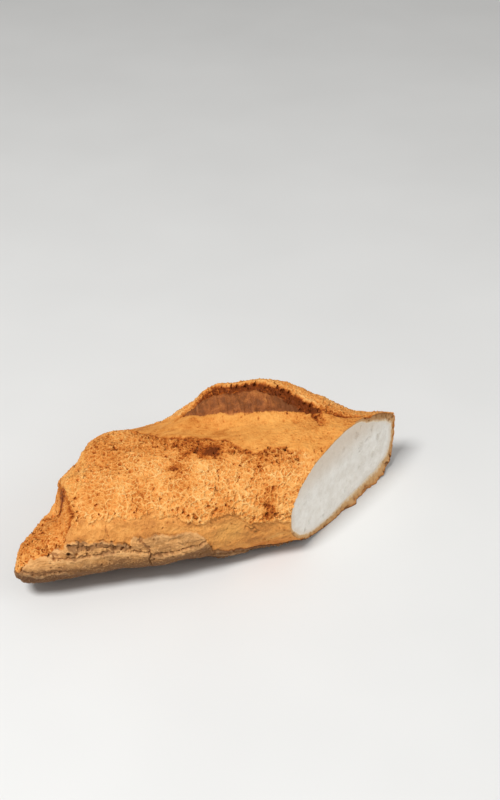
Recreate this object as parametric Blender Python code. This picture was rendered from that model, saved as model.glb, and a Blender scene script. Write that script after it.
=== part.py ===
"""Half of a small gluten-free baguette, cut slantwise through its middle.

One solid: the skin, lofted from the skewed heel to the cut through closed sections that stand
parallel to the cut, and the flat cut face. It lies on its flat base. Metres, +X along the loaf
from the heel to the cut, +Z up, origin under the middle of the bounding box.
"""
import math

import bmesh
import bpy
from mathutils import Vector

MM = 0.001

# Along the loaf, on its middle line
HEEL_U = -59.6 * MM  # where the heel ends
CUT_U = 56.0 * MM  # where the cut crosses
FRONT_ROUND = 23.0 * MM  # length over which the heel closes at the front
BACK_ROUND = 14.0 * MM  # and at the back, where it closes more suddenly
HEEL_POWER = 2.6  # over 2 is blunter than an ellipse
HEEL_SKEW = 0.76  # slant of the sections at the heel, dx per dy
CUT_SKEW = 1.03  # slant of the cut, about 44 degrees to the loaf

# Across the loaf
FRONT_WIDTH = 33.0 * MM  # from the middle line to the front belly
BACK_WIDTH = 36.5 * MM
FRONT_NARROWS = 5.4 * MM  # how much less it is at the cut
BACK_NARROWS = 9.0 * MM
HEIGHT = 40.0 * MM
HEEL_DROP = 4.0 * MM  # the top is lower by this towards the heel
NOSE_DROP = 6.0 * MM  # and by this on the front of the heel
CUT_DROP = 1.5 * MM
BELLY = 19.0 * MM  # height of the widest line
HEEL_BELLY = 15.0 * MM
BASE_FLAT = 0.9 * MM  # this much of the round belly is pressed flat
SECTION_POWER = 2.3
CUT_FULLNESS = 0.8  # more than that under the back belly at the cut

# The score that opened along the back of the top, and the skin that rose behind it
RISE = 12.0 * MM
SPREAD = 2.5 * MM
RISE_FROM, RISE_TO = -15.0 * MM, 68.0 * MM
RISE_TURN, RISE_WIDE = math.radians(42.0), math.radians(35.0)
VALLEY = 1.8 * MM
VALLEY_TURN, VALLEY_WIDE = math.radians(76.0), math.radians(18.0)

# The short score across the heel, and the smooth band under the front skin
HEEL_SCORE_X = -53.0 * MM
HEEL_SINK = 0.46  # share of its height that the skin beyond the score loses
BAND_STEP = 0.7 * MM
WAVES = 0.35 * MM

AROUND = 84
CAP_RINGS, BODY_RINGS = 12, 28
CUT_RINGS = (0.85, 0.6, 0.3)


def smooth(low, high, value):
    """0 below low, 1 above high, eased between."""
    t = min(1.0, max(0.0, (value - low) / (high - low)))
    return t * t * (3.0 - 2.0 * t)


def hump(middle, half, value):
    """1 at the middle, easing to 0 at half either side."""
    return 1.0 - smooth(0.0, half, abs(value - middle))


def power(value, exponent):
    return math.copysign(abs(value) ** exponent, value)


def skin(cap, body, turn):
    """A point of the skin. cap closes the heel from 0 to 1, then body runs from 0 to 1 at the
    cut. turn goes round the section from the back belly over the top."""
    back = 0.5 + 0.5 * math.cos(turn)
    reach = FRONT_ROUND + (BACK_ROUND - FRONT_ROUND) * back
    size = abs(math.sin(0.5 * math.pi * cap)) ** (2.0 / HEEL_POWER)
    closed = reach * (1.0 - abs(math.cos(0.5 * math.pi * cap)) ** (2.0 / HEEL_POWER))
    u = HEEL_U + closed + (CUT_U - HEEL_U - reach) * body
    along = (u - HEEL_U) / (CUT_U - HEEL_U)

    belly = HEEL_BELLY + (BELLY - HEEL_BELLY) * smooth(0.0, 0.35, along)
    top = HEIGHT - CUT_DROP * smooth(0.6, 1.0, along) - HEEL_DROP * (1.0 - smooth(0.0, 0.5, along))
    top -= NOSE_DROP * (1.0 - smooth(0.0, 0.18, along)) * (1.0 - back) ** 0.7
    bend = SECTION_POWER
    if math.sin(turn) < 0.0 < math.cos(turn):
        bend += CUT_FULLNESS * smooth(0.5, 1.0, along)
    c = power(math.cos(turn), 2.0 / bend)
    s = power(math.sin(turn), 2.0 / bend)
    wide = BACK_WIDTH - BACK_NARROWS * smooth(0.55, 1.0, along)
    if c < 0.0:
        wide = FRONT_WIDTH - FRONT_NARROWS * smooth(0.55, 1.0, along)
    y = wide * c * size
    rise = (top - belly if s > 0.0 else belly) * s * size
    skew = HEEL_SKEW + (CUT_SKEW - HEEL_SKEW) * smooth(0.0, 1.0, along)
    x = u + skew * y

    if s > 0.0:
        beyond = 1.0 - smooth(HEEL_SCORE_X - 5.0 * MM, HEEL_SCORE_X + 1.5 * MM, x)
        rise *= 1.0 - HEEL_SINK * beyond * (1.0 - smooth(0.0, 30.0 * MM, y))
        opened = smooth(RISE_FROM, RISE_FROM + 26.0 * MM, x)
        opened *= 1.0 - smooth(RISE_TO - 44.0 * MM, RISE_TO, x)
        y += SPREAD * opened * hump(RISE_TURN, RISE_WIDE, turn)
        rise += RISE * opened * hump(RISE_TURN, RISE_WIDE, turn)
        rise -= VALLEY * opened * hump(VALLEY_TURN, VALLEY_WIDE, turn)
    if c < 0.0:
        crease = (10.0 - 8.0 * smooth(-20.0 * MM, 20.0 * MM, x)) * MM
        crease += 1.3 * MM * math.sin(x / (6.0 * MM))
        y += BAND_STEP * size * hump(crease - 3.0 * MM, 4.0 * MM, rise)
    wave = WAVES * size * (1.0 - body) * math.sin(x / (7.5 * MM) + 2.0 * turn)
    y += wave * c
    rise += wave * s
    return Vector((u + skew * y, y, max(belly + rise, BASE_FLAT) - BASE_FLAT))


for thing in list(bpy.data.objects):
    bpy.data.objects.remove(thing, do_unlink=True)

crust = bpy.data.materials.new("crust")
crust.use_nodes = True
look = crust.node_tree.nodes["Principled BSDF"]
look.inputs["Base Color"].default_value = (0.58, 0.29, 0.10, 1.0)
look.inputs["Roughness"].default_value = 0.75

# The skin ring by ring: a point at the heel, the rings that close it, and those up to the cut
shape = bmesh.new()
turns = [2.0 * math.pi * k / AROUND for k in range(AROUND)]
stages = [((i + 1) / CAP_RINGS, 0.0) for i in range(CAP_RINGS)]
stages += [(1.0, (i + 1) / BODY_RINGS) for i in range(BODY_RINGS)]
rings = [[shape.verts.new(skin(cap, body, turn)) for turn in turns] for cap, body in stages]
nose = shape.verts.new(skin(0.0, 0.0, math.pi))
for k in range(AROUND):
    after = (k + 1) % AROUND
    shape.faces.new((nose, rings[0][after], rings[0][k]))
    for near, far in zip(rings, rings[1:]):
        shape.faces.new((near[k], near[after], far[after], far[k]))

# The flat cut face, in rings of its own that shrink to its middle
middle = sum((v.co for v in rings[-1]), Vector()) / AROUND
for share in CUT_RINGS:
    drawn = [shape.verts.new(middle.lerp(v.co, share)) for v in rings[CAP_RINGS + BODY_RINGS - 1]]
    outer = rings[-1]
    rings.append(drawn)
    for k in range(AROUND):
        after = (k + 1) % AROUND
        shape.faces.new((outer[k], outer[after], drawn[after], drawn[k]))
hub = shape.verts.new(middle)
for k in range(AROUND):
    shape.faces.new((rings[-1][k], rings[-1][(k + 1) % AROUND], hub))
bmesh.ops.recalc_face_normals(shape, faces=shape.faces)

# The origin goes under the middle of the box
low = Vector([min(v.co[i] for v in shape.verts) for i in range(3)])
high = Vector([max(v.co[i] for v in shape.verts) for i in range(3)])
middle = (low + high) / 2.0
bmesh.ops.translate(shape, verts=shape.verts, vec=Vector((-middle.x, -middle.y, -low.z)))

mesh = bpy.data.meshes.new("baguette_half")
shape.to_mesh(mesh)
shape.free()
mesh.materials.append(crust)
mesh.shade_smooth()
mesh.set_sharp_from_angle(angle=math.radians(40.0))
holder = bpy.data.collections.new("gluten_free_baguette_half")
bpy.context.scene.collection.children.link(holder)
loaf = bpy.data.objects.new("baguette_half", mesh)
holder.objects.link(loaf)
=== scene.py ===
"""Half of a small gluten-free baguette, lying on its base and cut slantwise to show its crumb."""
import math

import bmesh
import bpy
import numpy as np
from mathutils import Matrix, Vector


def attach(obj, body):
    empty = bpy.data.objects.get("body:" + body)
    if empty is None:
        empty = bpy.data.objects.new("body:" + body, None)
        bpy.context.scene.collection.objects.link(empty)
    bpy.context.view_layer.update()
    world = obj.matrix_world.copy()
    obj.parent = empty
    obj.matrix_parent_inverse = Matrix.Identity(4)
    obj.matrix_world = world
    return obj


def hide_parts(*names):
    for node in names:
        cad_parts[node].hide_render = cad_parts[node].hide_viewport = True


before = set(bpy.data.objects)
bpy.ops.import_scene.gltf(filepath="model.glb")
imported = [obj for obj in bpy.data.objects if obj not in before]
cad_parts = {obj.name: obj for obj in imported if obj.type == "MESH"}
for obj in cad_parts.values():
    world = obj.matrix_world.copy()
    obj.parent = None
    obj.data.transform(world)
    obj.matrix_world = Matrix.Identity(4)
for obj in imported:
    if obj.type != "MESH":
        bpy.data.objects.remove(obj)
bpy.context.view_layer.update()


# ---- The loaf's form ----
# The skin of the dough as it left the tray: a skewed round heel, a belly on both sides, a
# score that opened along the back and lifted the skin behind it. All lengths are in
# millimetres until the meshes are made.

HEEL_U, CUT_U = -59.6, 56  # where the loaf's middle line ends and is cut
FRONT_ROUND, BACK_ROUND = 23, 14  # lengths over which the heel closes
HEEL_POWER = 2.6
HEEL_SKEW, CUT_SKEW = 0.76, 1.03
FRONT_WIDTH, BACK_WIDTH = 33, 36.5
FRONT_NARROWS, BACK_NARROWS = 5.4, 9
HEIGHT, HEEL_DROP, NOSE_DROP, CUT_DROP = 40, 4, 6, 1.5
BELLY, HEEL_BELLY, BASE_FLAT = 19, 15, 0.9
SECTION_POWER, CUT_FULLNESS = 2.3, 0.8
RISE, SPREAD, RISE_FROM, RISE_TO = 12, 2.5, -15, 68
RISE_TURN, RISE_WIDE = math.radians(42), math.radians(35)
VALLEY, VALLEY_TURN, VALLEY_WIDE = 1.8, math.radians(76), math.radians(18)
HEEL_SCORE_X, HEEL_SINK = -53, 0.46
BACK_CORNER_DROP = 4  # how much lower the top back corner of the cut is
ORIGIN = np.array((5.38970158, 1.7597843, 0))  # the part's origin, seen from the loaf's


def smooth(low, high, value):
    """0 at low and 1 at high, eased between them."""
    t = np.clip((value - low) / (high - low), 0, 1)
    return t * t * (3 - 2 * t)


def hump(middle, half, value):
    """1 at the middle, easing to 0 at half either side."""
    return 1 - smooth(0, half, np.abs(value - middle))


def power(value, exponent):
    return np.copysign(np.abs(value) ** exponent, value)


def risen(x):
    """How far the score has opened at x, from 0 to 1."""
    return smooth(RISE_FROM, RISE_FROM + 26, x) * (1 - smooth(RISE_TO - 44, RISE_TO, x))


def skin(cap, body, turn):
    """Points of the plain skin. cap closes the heel, then body runs to the cut; turn goes
    round the section from the back belly over the top."""
    cap, body, turn = np.broadcast_arrays(cap, body, turn)
    back = 0.5 + 0.5 * np.cos(turn)
    reach = FRONT_ROUND + (BACK_ROUND - FRONT_ROUND) * back
    size = np.abs(np.sin(0.5 * math.pi * cap)) ** (2 / HEEL_POWER)
    closed = reach * (1 - np.abs(np.cos(0.5 * math.pi * cap)) ** (2 / HEEL_POWER))
    u = HEEL_U + closed + (CUT_U - HEEL_U - reach) * body
    along = (u - HEEL_U) / (CUT_U - HEEL_U)

    belly = HEEL_BELLY + (BELLY - HEEL_BELLY) * smooth(0, 0.35, along)
    top = HEIGHT - CUT_DROP * smooth(0.6, 1, along) - HEEL_DROP * (1 - smooth(0, 0.5, along))
    top -= NOSE_DROP * (1 - smooth(0, 0.18, along)) * (1 - back) ** 0.7
    over, behind = np.sin(turn) > 0, np.cos(turn) > 0
    bend = SECTION_POWER + np.where(~over & behind, CUT_FULLNESS * smooth(0.5, 1, along), 0)
    c = power(np.cos(turn), 2 / bend)
    s = power(np.sin(turn), 2 / bend)
    narrow = smooth(0.55, 1, along)
    wide = np.where(behind, BACK_WIDTH - BACK_NARROWS * narrow, FRONT_WIDTH - FRONT_NARROWS * narrow)
    y = wide * c * size
    rise = np.where(over, top - belly, belly) * s * size
    skew = HEEL_SKEW + (CUT_SKEW - HEEL_SKEW) * smooth(0, 1, along)
    x = u + skew * y

    beyond = 1 - smooth(HEEL_SCORE_X - 4.4, HEEL_SCORE_X + 1, x)
    sunk = rise * (1 - HEEL_SINK * beyond * (1 - smooth(0, 30, y)))
    opened = risen(x)
    lifted = opened * hump(RISE_TURN, RISE_WIDE, turn)
    sunk = sunk + RISE * lifted - VALLEY * opened * hump(VALLEY_TURN, VALLEY_WIDE, turn)
    rise = np.where(over, sunk, rise)
    y = y + np.where(over, SPREAD * lifted, 0)
    z = np.maximum(belly + rise, BASE_FLAT) - BASE_FLAT
    return np.stack((u + skew * y, y, z), axis=-1)


# ---- The net over the skin ----
# The skin is baked dough about two millimetres thick, so its pores, creases and cracks are
# real relief. They need a point about every third of a millimetre where they show, and
# fewer under the loaf. Rows follow the loaf's length, columns go round it.

ROWS = 470
FINE, PLAIN, COARSE = 0.33, 0.42, 0.52  # spacing of the columns at the front, back and base

look_round = np.linspace(0, 2 * math.pi, 6001)
section = skin(1, 0.45, look_round)[:, 1:]
stride = np.linalg.norm(np.diff(section, axis=0), axis=1)
mid_turn = np.degrees(0.5 * (look_round[1:] + look_round[:-1]))
spacing = np.interp(mid_turn, (0, 25, 80, 95, 215, 240, 335, 360),
                    (PLAIN, PLAIN, PLAIN, FINE, FINE, COARSE, COARSE, PLAIN))
passed = np.concatenate(([0], np.cumsum(stride / spacing)))
COLUMNS = int(passed[-1])
turn = np.interp(np.arange(COLUMNS) * passed[-1] / COLUMNS, passed, look_round)[None, :]

look_along = np.linspace(0, 2, 4001)
lines = skin(np.minimum(look_along, 1)[:, None], np.maximum(look_along - 1, 0)[:, None],
             np.radians((10, 60, 95, 130, 175, 220))[None, :])
stride = np.linalg.norm(np.diff(lines, axis=0), axis=2).mean(axis=1)
passed = np.concatenate(([0], np.cumsum(stride)))
stage = np.interp(np.linspace(0, passed[-1], ROWS + 1)[1:], passed, look_along)[:, None]
net = skin(np.minimum(stage, 1), np.maximum(stage - 1, 0), turn)
nose = skin(0, 0, math.pi)
degrees = np.degrees(turn)
to_go = CUT_U - (net[..., 0] - CUT_SKEW * net[..., 1])  # how far before the cut
near_cut = smooth(30, 0, to_go)
net[..., 2] -= BACK_CORNER_DROP * hump(45, 45, degrees) * near_cut

along_way = np.gradient(net, axis=0)
round_way = np.roll(net, -1, axis=1) - np.roll(net, 1, axis=1)
out = np.cross(round_way, along_way)
out /= np.linalg.norm(out, axis=2, keepdims=True) + 1e-12
if (out * (net - net.mean(axis=1, keepdims=True))).sum() < 0:
    out = -out
cut_way = np.array((1, -CUT_SKEW, 0)) / math.hypot(1, CUT_SKEW)  # square to the cut


# ---- Scores, creases and cracks ----
# What the baker's blade and the oven did to the skin: a porous main panel that the dough
# pushed up, smooth bands where it opened, a torn flap along the back, and a pale floury
# base that cracked as the loaf rose. Each gives a lift to the skin and a share of colour.

def ripple(points, length, seed, waves=14):
    """Soft unevenness of about that length, mostly between -1 and 1."""
    draw = np.random.default_rng(seed)
    way = draw.normal(size=(waves, 3))
    way /= np.linalg.norm(way, axis=1, keepdims=True)
    pitch = 2 * math.pi / (length * draw.uniform(0.7, 1.5, waves))
    phase = draw.uniform(0, 2 * math.pi, waves)
    total = sum(np.cos(points @ (w * p) + f) for w, p, f in zip(way, pitch, phase))
    return total / math.sqrt(2 * waves)


def line_at(at, points):
    """The height, or the depth, of a line of given points at each place of at."""
    places, values = zip(*points)
    return np.interp(at, places, values)


def spot(centre, reach):
    """1 at the centre, fading to 0 at the reach along each axis."""
    away = sum(((net[..., i] - centre[i]) / reach[i]) ** 2 for i in range(3))
    return np.exp(-2 * away)


def bell(value, half):
    """1 where the value is 0, fading on both sides."""
    return np.exp(-(value / half) ** 2)


def spots(places):
    """Several spots together, each with its centre, its reach and its height or strength."""
    return sum(height * spot(centre, reach) for centre, reach, height in places)


x, y, z = net[..., 0], net[..., 1], net[..., 2]
front = smooth(0.25, -0.25, np.cos(turn)) + 0 * x
over = smooth(-0.05, 0.12, np.sin(turn)) + 0 * x
lift = 0.35 * ripple(net, 16, 1) + 0.22 * ripple(net, 7, 2)
broad = ripple(net, 13, 3)
small = ripple(net, 4.5, 4)
tiny = ripple(net, 1.7, 5)

# The lower crease: the edge of the porous panel, frilled, over a smooth band
CREASE = ((-60, 30), (-51, 30.7), (-43.5, 30.3), (-35, 30.2), (-27, 30.1), (-21, 30.3),
          (-15.4, 29.2), (-12, 26.9), (-7.3, 25), (-2, 25.1), (3.3, 26.4), (8.2, 24.8),
          (12.3, 20.9), (24, 19.6), (32, 17))
BACK_CREASE = ((-48, 22), (-38, 24), (-27, 20), (-16, 17.5), (-4, 19.5), (8, 23.5), (19, 20),
               (30, 17), (44, 18.5), (56, 22.5), (70, 19), (84, 20))
crease = front * line_at(x, CREASE) + (1 - front) * line_at(x, BACK_CREASE)
left_part = smooth(-14, -24, x)
above = z - crease - (0.55 + 0.5 * left_part) * small - 0.3 * tiny
above -= 0.5 * left_part * ripple(net, 2.8, 22)
edge = front * smooth(-56, -51.5, x) * (1 - smooth(23, 34, x))
edge += (1 - front) * 0.8 * smooth(-48, -38, x) * (0.55 + 0.45 * broad)
under = smooth(0.3, -0.6, above)
lift -= edge * under * (0.75 - 0.25 * left_part) * np.exp(np.minimum(above, 0) / 5)
crease_bead = edge * bell(above - 0.5, 0.55)
crease_bead *= np.clip(0.7 - 0.3 * left_part + 0.6 * tiny, 0, 1)
lift += 0.34 * crease_bead
panel = 1 - smooth(0.3, -0.3, above)

# The score's front edge: dark deep pores in a groove with painted shade at the panel's back edge, then the
# smooth band
RIDGE = ((-34, 36), (-25, 27), (-21, 18), (-17.6, 14.1), (-14.5, 9.4), (-11, 6.9), (-7.3, 6.2),
         (-3.7, 5), (0, 3.5), (3.4, 2.4), (7.1, 1.2), (9.7, -0.8), (12.1, -4), (14.2, -6.6),
         (16.5, -8.2), (19.1, -8.6), (21.5, -7.9), (24.4, -7), (27.4, -7.4), (32, -9.4), (45, -13))
BAND_BACK = ((-34, 38), (-20, 31.5), (-11.8, 27.7), (2.5, 18.6), (21.8, 16.6), (41, 14.9), (59, 13.1),
             (78, 12))
behind = y - line_at(x, RIDGE) - 0.5 * small - 0.35 * tiny
scored = over * smooth(-34, -24, x) * (1 - smooth(30, 40, x)) * smooth(17, 26, z)
lift -= scored * 0.55 * bell(behind + 0.5, 0.6)
lift += scored * 0.40 * bell(behind - 0.9, 0.9) * smooth(8, 16, x)
inside = y - line_at(x, BAND_BACK) - 0.4 * small
merged = smooth(30, 46, x)
band = over * smooth(-0.5 - 5 * merged, 0.5 + 5 * merged, behind) * smooth(0.6, -0.6, inside)
band *= smooth(-34, -22, x)
lift += 0.10 * band * ripple(net * (0.5, 1.6, 1), 3.5, 6)

# The raised flap: a streaked inner face, a torn porous edge, and a thin lip on top
arc = np.cumsum(np.linalg.norm(np.diff(net[..., 1:], axis=1, append=net[:, :1, 1:]), axis=2), axis=1)
near_top = np.where((degrees > 15) & (degrees < 75), z, -1)
crest_at = np.argmax(near_top, axis=1)
crest_arc = arc[np.arange(ROWS), crest_at]
crest_arc = np.convolve(np.pad(crest_arc, 12, mode="edge"), np.ones(25) / 25, mode="valid")
past = arc - crest_arc[:, None] - 0.5 * small - 0.35 * tiny
flap = over * smooth(0, 0.10, risen(x)) * smooth(-9, -3, x) * smooth(53, 46, x)
lift -= 1.7 * spot((0, 26.5, 40), (10, 9, 8))
inner_face = flap * smooth(-0.6, 0.6, inside) * smooth(0.3, 1.2, past)
torn = flap * smooth(0.4, 1, past) * smooth(5.4, 4.2, past)
lift -= torn
lip = flap * bell(past, 0.75)
lift += 0.45 * lip * smooth(0.05, 0.35, risen(x)) - 0.5 * flap * bell(past, 3)
foot_groove = flap * bell(inside - 0.4, 0.9) * smooth(2.5, 4, past)
lift -= 0.7 * foot_groove * smooth(0.15, 0.45, risen(x))
streak = ripple(net * (1, 0.18, 0.18), 2.1, 7)
lift += inner_face * (1 - torn) * 0.5 * streak
flap_start = flap * smooth(-3.2, -1.8, past) * smooth(4.6, 3.4, past) * smooth(18, 8, x)

# Where the flap ends, a sunk porous gap runs on to the cut; its darkness is painted shade
gap_line = inside - 2.6 + 3.6 * smooth(44, 62, x) + 0.5 * tiny
gap = over * bell(gap_line, 1.5) * smooth(43, 50, x) * np.clip(0.85 + 0.35 * small, 0, 1)
lift -= 1.1 * gap

# The score across the heel: the panel's edge stands over a sunk lobe
HEEL_CREASE = ((-31, -55.6), (-29, -54.6), (-28.3, -53.6), (-27.4, -52.4), (-25.7, -51.4), (-23.6, -50.9),
               (-21, -51.2), (-17.4, -51.8), (-12, -52.4), (-3.4, -53.3), (8, -54.5), (20, -56))
HEEL_STRAND = ((-20, -50.2), (-17, -49.5), (-14, -48.1), (-9, -46.2), (-5.5, -45.3), (0.6, -44.3),
               (10.4, -42.7), (16, -42))
past_heel = x - line_at(y, HEEL_CREASE) - 0.45 * small - 0.25 * tiny
heel = over * smooth(22, 25, z) * (1 - smooth(6, 18, y))
lobe = smooth(0.4, -0.4, past_heel)
lift -= heel * lobe * 1.2 * np.exp(np.minimum(past_heel, 0) / 3.2)
heel_bead = heel * bell(past_heel - 0.7, 0.7)
lift += 0.45 * heel_bead
panel = np.maximum(panel, front * lobe)
hollow = spot((-56, -9, 28), (3.4, 9, 8))
HEEL_FORM = (((-59.5, -4, 25.5), (5, 16, 8), -2.4), ((-65, -12, 21), (9, 15, 9), -2.3),
             ((-73.5, -24, 16), (7, 9, 5), -1.4), ((-58.8, -3.5, 20.3), (4.5, 9, 5.5), -2.9),
             ((-38.5, 12, 33.5), (9, 13, 9), 2.8), ((-33, 20, 32.5), (11, 9, 8), 2))
lift += spots(HEEL_FORM) - 0.7 * hollow
strand_line = x - line_at(y, HEEL_STRAND) - 0.3 * small
bead = over * bell(strand_line, 0.55) * (1 - smooth(12, 16, y)) * smooth(-20, -16, y)
lift += 0.35 * bead
between = over * smooth(0, -1, strand_line) * (1 - lobe)
between *= smooth(-24, -18, y) * smooth(11, 1, y)

# The band between is drawn in long soft streaks
lower_band = (1 - panel) * smooth(9, 12, z)
drawn = ripple(net * (0.35, 0.8, 1.3), 3.2, 15)
lift += lower_band * (0.20 * drawn + 0.12 * small)

# The base: paler than the rest, dusted with flour, in flakes with a ragged upper edge
PALE = ((-74.5, 10), (-72.5, 13.5), (-70.4, 17), (-68, 19.4), (-65, 20.4), (-62, 20.8), (-56.3, 22.3),
        (-54.7, 24.2), (-52.6, 25.2), (-48, 24.8), (-43, 24), (-39, 23.4), (-34, 21.6), (-32.4, 20.6),
        (-31.9, 23.4), (-31, 24.5), (-27.6, 23.5), (-25.8, 24.2), (-21, 24.1), (-17.8, 22.7),
        (-15.6, 22.9), (-13.3, 23.5), (-10.3, 22.8), (-7.8, 21.8), (-5.6, 19.8), (-4.2, 17.3),
        (-3.1, 14.6), (-1.9, 11.9), (4.9, 9.4), (11.6, 8.4), (14, 6), (30, 4), (60, 5))
BACK_PALE = ((-66, 12.5), (-50, 14), (-40, 16), (-20, 14.5), (0, 12), (20, 14.5), (40, 10.5),
             (60, 12.5), (84, 8))
pale_line = front * line_at(x, PALE) + (1 - front) * line_at(x, BACK_PALE)
pale_line = pale_line - 9 * smooth(-25, -15, y) * smooth(-54, -60, x)
below = pale_line - z + 0.35 * small + 0.28 * tiny
flour = smooth(-0.25, 0.25, below)
split = np.clip(0.6 + 0.6 * small, 0, 1)
lift -= split * 0.6 * bell(below + 0.1, 0.35)
lift += 0.42 * flour * np.exp(-np.maximum(below, 0) / 4.5)
light_edges = 0.9 * bell(below - 0.65, 0.4) * split

# The base's dry skin lies in thin torn layers
layer = 2.2 * ripple(net * (0.5, 0.9, 1.5), 8, 16) + 0.5 * small + 0.3 * tiny
worn = layer - np.floor(layer)
lift += 0.32 * flour * (smooth(0, 0.14, worn) - worn)
light_edges = np.maximum(light_edges, 0.75 * flour * bell(worn - 0.16, 0.07))

# Cracks and flake edges in the base: each a line of x and z on the front, how deep, how
# wide, how far the skin under it stands forward, and how porous the gap is
CRACKS = (
    (((-29, 23.9), (-28.1, 22), (-26.8, 20.5), (-25.4, 18.9), (-25.1, 16), (-25.9, 13.5),
      (-25.1, 10.3)), 0.8, 0.38, 0, 0),
    (((-62.5, 20.5), (-57.4, 19.9), (-52.2, 19.1), (-46.9, 19.7), (-41.5, 19.9), (-36.2, 19.5),
      (-30.8, 18.6), (-25.5, 17.1)), 0.7, 0.4, 1, 0),
    (((-25.1, 15.5), (-21.8, 15.8), (-18.1, 15.8), (-14.4, 15.3), (-10.7, 16.3), (-6.9, 17.1),
      (-4.2, 17.2)), 0.7, 0.4, 1, 0),
    (((-2.6, 14), (-2.2, 10.9), (1.9, 8.2), (8, 7.2), (13, 6.2)), 0.8, 0.45, 0.8, 0.3),
    (((-54.2, 23.3), (-51.9, 22.6), (-50, 23.6), (-47.3, 22.6), (-43.7, 22.9), (-41.4, 21.9),
      (-37.9, 21.5), (-34.3, 20.6)), 1, 1.1, 0, 1),
    (((-40.5, 29), (-40, 26.5), (-39.6, 25)), 0.35, 0.25, 0, 0),
    (((-72, 15.5), (-66, 13.5), (-60, 14.5), (-52, 12.5)), 0.4, 0.4, 0.4, 0),
    (((10.9, 19.1), (12.6, 17.6), (14, 18.2), (15.3, 16.3)), 0.8, 0.6, 0, 0.6),
)
cracked, gashed = np.zeros_like(x), np.zeros_like(x)
crack_x = x + 0.55 * small + 0.45 * ripple(net, 1.5, 8)
crack_z = z + 0.6 * ripple(net, 3.2, 9) + 0.5 * ripple(net, 1.4, 10)
uneven_width = np.clip(1 + 0.6 * small + 0.4 * tiny, 0.3, 2)
for points, depth, wide, proud, porous in CRACKS:
    nearest = np.full_like(x, 1e9)
    for (ax, az), (bx, bz) in zip(points, points[1:]):
        length = (bx - ax) ** 2 + (bz - az) ** 2
        t = np.clip(((crack_x - ax) * (bx - ax) + (crack_z - az) * (bz - az)) / length, 0, 1)
        away = np.hypot(crack_x - ax - t * (bx - ax), crack_z - az - t * (bz - az))
        nearest = np.minimum(nearest, away)
    groove = front * bell(nearest, wide * uneven_width)
    lift -= depth * groove
    cracked = np.maximum(cracked, groove)
    gashed = np.maximum(gashed, porous * groove)
    if proud:
        ends = smooth(-1, 2, crack_x - min(p[0] for p in points))
        ends *= smooth(-1, 2, max(p[0] for p in points) - crack_x)
        drop = line_at(crack_x, points) - crack_z
        lift += front * ends * proud * smooth(0, 0.4, drop) * np.exp(-np.maximum(drop, 0) / 3.5)
        light_edges = np.maximum(light_edges, front * ends * bell(drop - 0.8, 0.5))

# Cracks of the same kind behind, where the base dried and split along its edge
BACK_SPLIT = ((-45, 11), (-30, 9), (-12, 8.5), (5, 7), (22, 9.5), (50, 6), (84, 5))
back_crack = np.abs(z - line_at(x, BACK_SPLIT) + 1.2 * small + 0.6 * ripple(net, 2.2, 11))
groove = (1 - front) * bell(back_crack, 0.45) * smooth(-0.2, 0.3, broad)
lift -= 0.6 * groove
cracked = np.maximum(cracked, groove)

# The hollow beside the crease on the right, and the dark spots
dent = front * spot((4.5, -29, 18.5), (8.5, 14, 6))
lift -= 0.9 * dent
SCORCHED = (((-1.2, -6.2, 38.7), (8, 4.2, 9), 1.3), ((-12.2, -12.2, 38.2), (5, 3, 9), 0.5),
            ((-5, 0, 38.7), (14, 7, 9), 0.35), ((8, -6, 38.7), (8, 6, 9), 0.3),
            ((20.2, -27, 24.6), (3.4, 9, 3.2), 0.8), ((20.5, -24, 30), (6, 9, 7), 0.35))
# Scorched dark spots, and painted shade in the sunk hollow at the heel
scorch_and_shade = (spots(SCORCHED) + 0.9 * hollow * heel) * (1 + 0.6 * small)

# The lowest flake of the base stands out and ends short of the cut
ragged = smooth(5, 0, to_go) * hump(285, 90, degrees)
lift += ragged * (0.35 * small + 0.45 * tiny + 0.3 * ripple(net, 0.9, 17))
lift += 0.9 * front * spot((2, -22, 3.5), (13, 14, 6)) * smooth(14.8, 12.5, x + 0.8 * small)
low_edge = front * smooth(9, 3, z) * smooth(0.2, 1.5, z)
lift += low_edge * (0.35 * small + 0.30 * tiny)
lift += spot((-73, -27, 7), (6, 7, 8)) * (0.6 * small + 0.6 * tiny)
lift -= 1.8 * front * smooth(11, 3, z) * smooth(-66, -48, x) * smooth(4, -3, x)

# Near the cut every lift stays in the plane of the cut, but the tough base tore beyond it
LOW_BACK_BELLY = 2.8  # how much fuller the back's lower belly is at the cut
LIP = 2.8  # how far the torn base stands beyond the cut, where it is even
to_cut = smooth(6, 0, to_go)
cut_side = np.array((CUT_SKEW, 1, 0)) / math.hypot(1, CUT_SKEW)  # level, in the plane of the cut
net_low = LOW_BACK_BELLY * hump(316, 42, degrees) * near_cut
way = out - to_cut[..., None] * (out @ cut_way)[..., None] * cut_way
way /= np.linalg.norm(way, axis=2, keepdims=True)
base_lift = smooth(0.6, 3, z)  # the flat stays flat
raised = net + way * (lift * (0.25 + 0.75 * base_lift))[..., None] + cut_side * net_low[..., None]
torn_out = hump(291, 50, degrees)
crumbly = 0.50 * ripple(net, 8, 20) + 0.20 * small + 0.10 * ripple(net, 2.5, 21)
lip_out = LIP * torn_out * np.clip(0.95 + crumbly, 0.15, 1.9)
raised += cut_way * (lip_out * smooth(4.5, 0, to_go))[..., None]
crumb_of_crust = spot((59, 2.5, 2), (5, 5, 4)) * smooth(4, 0, to_go)
raised += (0.6 * cut_way + (0, 0, -0.2)) * crumb_of_crust[..., None]
for side, limit in ((-1, 33.5), (1, 36.8)):  # the bellies stay within the loaf's width
    beyond = np.maximum(side * raised[..., 1] - limit, 0)
    raised[..., 1] -= side * 0.6 * beyond
raised[..., 2] = np.maximum(raised[..., 2], 0)

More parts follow.
